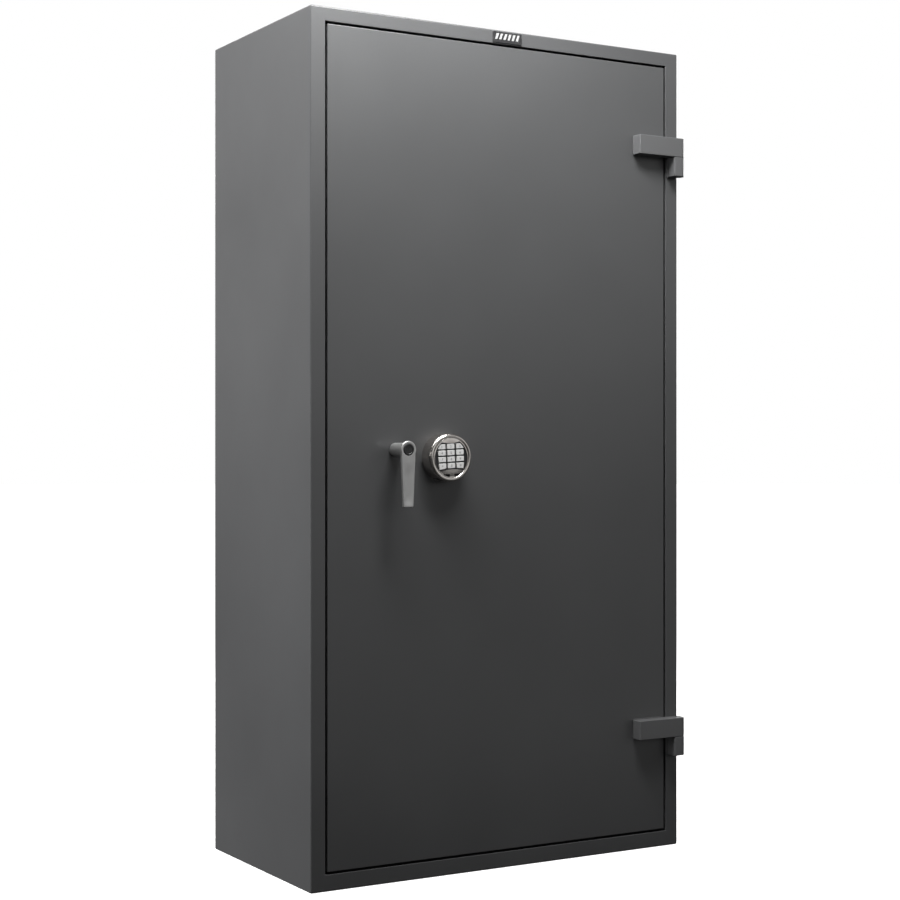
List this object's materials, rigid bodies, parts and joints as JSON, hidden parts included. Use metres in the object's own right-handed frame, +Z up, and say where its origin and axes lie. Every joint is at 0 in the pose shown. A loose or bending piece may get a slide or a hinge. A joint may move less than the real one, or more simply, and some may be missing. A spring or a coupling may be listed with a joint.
{
  "type": "gun safe",
  "caption": "Tall free-standing gun safe: lined steel body, outside-hinged door with lever handle, rack-driven bolts and round electronic keypad, with a shelf and barrel rack inside.",
  "frame": {"origin": "middle of the underside of the body, on the floor", "axes": "+X to the right seen from the front, +Y into the safe, +Z up"},
  "size_m": [0.8037, 0.4706, 1.55],
  "materials": {
    "anthracite_paint": "satin anthracite powder coat",
    "liner_paint": "matt grey paint",
    "bright_steel": "turned bright steel",
    "zinc_steel": "zinc-plated steel",
    "satin_chrome": "satin chrome on a casting",
    "cast_aluminium": "fine-blasted silver casting",
    "key_plastic": "silver-white matt keys",
    "black_plastic": "black moulded plastic",
    "black_rubber": "black rubber",
    "battery_sleeve": "dark printed sleeve",
    "fire_filling": "cast mineral filling",
    "covered_board": "board with a dark grey needle-felt cover",
    "grey_felt": "dark grey needle felt"
  },
  "bodies": {
    "safe_body": {"outer_casing": "anthracite_paint", "rear_panel": "anthracite_paint", "wall_filling": "fire_filling", "inner_liner": "liner_paint", "door_frame": "anthracite_paint", "door_seal": "black_rubber", "name_plate": "black_plastic", "hinge_knuckle_upper": "anthracite_paint", "hinge_knuckle_lower": "anthracite_paint", "hinge_pin_upper": "bright_steel", "hinge_pin_lower": "bright_steel", "shelf": "covered_board", "shelf_support_left": "zinc_steel", "shelf_support_right": "zinc_steel", "barrel_rack": "covered_board", "floor_mat": "grey_felt", "anchor_plug_left": "black_plastic", "anchor_plug_right": "black_plastic"},
    "door": {"door_skin": "anthracite_paint", "door_filling": "fire_filling", "hard_plate": "zinc_steel", "boltwork_cover": "anthracite_paint", "hinge_strap_upper": "anthracite_paint", "hinge_strap_lower": "anthracite_paint", "fixed_dog_1": "bright_steel", "fixed_dog_2": "bright_steel", "fixed_dog_3": "bright_steel", "keypad_base": "black_plastic", "keypad_housing": "satin_chrome", "keypad_face": "black_plastic", "lock_case": "zinc_steel", "lock_cable": "black_rubber", "handle_bush": "zinc_steel"},
    "handle": {"handle_lever": "cast_aluminium", "handle_cap": "black_plastic", "handle_spindle": "bright_steel", "handle_pinion": "zinc_steel"},
    "carriage": {"bolt_carriage": "zinc_steel", "carriage_rack": "zinc_steel", "side_bolt_1": "bright_steel", "side_bolt_2": "bright_steel", "side_bolt_3": "bright_steel", "side_bolt_4": "bright_steel"},
    "top_rod": {"top_bolt_rod": "zinc_steel"},
    "bottom_rod": {"bottom_bolt_rod": "zinc_steel"},
    "finger": {"lock_finger": "bright_steel"},
    "drawer": {"battery_drawer": "black_plastic", "battery": "battery_sleeve"},
    "key_1": {"key_1": "key_plastic"},
    "key_2": {"key_2": "key_plastic"},
    "key_3": {"key_3": "key_plastic"},
    "key_4": {"key_4": "key_plastic"},
    "key_5": {"key_5": "key_plastic"},
    "key_6": {"key_6": "key_plastic"},
    "key_7": {"key_7": "key_plastic"},
    "key_8": {"key_8": "key_plastic"},
    "key_9": {"key_9": "key_plastic"},
    "key_star": {"key_star": "key_plastic"},
    "key_0": {"key_0": "key_plastic"},
    "key_hash": {"key_hash": "key_plastic"}
  },
  "joints": [
    {"name": "door_swing", "type": "hinge", "parent": "safe_body", "child": "door", "pos_m": [0.3915, -0.2225, 0.775], "axis": [0, 0, 1], "range_deg": [0, 180]},
    {"name": "handle_turn", "type": "hinge", "parent": "door", "child": "handle", "pos_m": [-0.232, -0.235, 0.774], "axis": [0, 1, 0], "range_deg": [0, 90]},
    {"name": "bolt_slide", "type": "slide", "parent": "door", "child": "carriage", "axis": [-1, 0, 0], "range_m": [0, 0.02513]},
    {"name": "top_rod_slide", "type": "slide", "parent": "door", "child": "top_rod", "axis": [0, 0, 1], "range_m": [0, 0.0252]},
    {"name": "bottom_rod_slide", "type": "slide", "parent": "door", "child": "bottom_rod", "axis": [0, 0, -1], "range_m": [0, 0.0252]},
    {"name": "lock_finger_turn", "type": "hinge", "parent": "door", "child": "finger", "pos_m": [-0.186, -0.175, 0.772], "axis": [0, 1, 0], "range_deg": [0, 90]},
    {"name": "battery_drawer_slide", "type": "slide", "parent": "door", "child": "drawer", "axis": [0.0523, 0, -0.9986], "range_m": [0, 0.038]},
    {"name": "key_1_press", "type": "slide", "parent": "door", "child": "key_1", "axis": [0, 1, 0], "range_m": [0, 0.001], "stiffness_N_per_m": 800},
    {"name": "key_2_press", "type": "slide", "parent": "door", "child": "key_2", "axis": [0, 1, 0], "range_m": [0, 0.001], "stiffness_N_per_m": 800},
    {"name": "key_3_press", "type": "slide", "parent": "door", "child": "key_3", "axis": [0, 1, 0], "range_m": [0, 0.001], "stiffness_N_per_m": 800},
    {"name": "key_4_press", "type": "slide", "parent": "door", "child": "key_4", "axis": [0, 1, 0], "range_m": [0, 0.001], "stiffness_N_per_m": 800},
    {"name": "key_5_press", "type": "slide", "parent": "door", "child": "key_5", "axis": [0, 1, 0], "range_m": [0, 0.001], "stiffness_N_per_m": 800},
    {"name": "key_6_press", "type": "slide", "parent": "door", "child": "key_6", "axis": [0, 1, 0], "range_m": [0, 0.001], "stiffness_N_per_m": 800},
    {"name": "key_7_press", "type": "slide", "parent": "door", "child": "key_7", "axis": [0, 1, 0], "range_m": [0, 0.001], "stiffness_N_per_m": 800},
    {"name": "key_8_press", "type": "slide", "parent": "door", "child": "key_8", "axis": [0, 1, 0], "range_m": [0, 0.001], "stiffness_N_per_m": 800},
    {"name": "key_9_press", "type": "slide", "parent": "door", "child": "key_9", "axis": [0, 1, 0], "range_m": [0, 0.001], "stiffness_N_per_m": 800},
    {"name": "key_star_press", "type": "slide", "parent": "door", "child": "key_star", "axis": [0, 1, 0], "range_m": [0, 0.001], "stiffness_N_per_m": 800},
    {"name": "key_0_press", "type": "slide", "parent": "door", "child": "key_0", "axis": [0, 1, 0], "range_m": [0, 0.001], "stiffness_N_per_m": 800},
    {"name": "key_hash_press", "type": "slide", "parent": "door", "child": "key_hash", "axis": [0, 1, 0], "range_m": [0, 0.001], "stiffness_N_per_m": 800}
  ],
  "couplings": [
    {"joint": "handle_turn", "follows": "bolt_slide", "rad_per_m": 62.5},
    {"joint": "top_rod_slide", "follows": "bolt_slide", "ratio": 1},
    {"joint": "bottom_rod_slide", "follows": "bolt_slide", "ratio": 1},
    {"joint": "lock_finger_turn", "follows": "bolt_slide", "rad_per_m": 62.5}
  ]
}
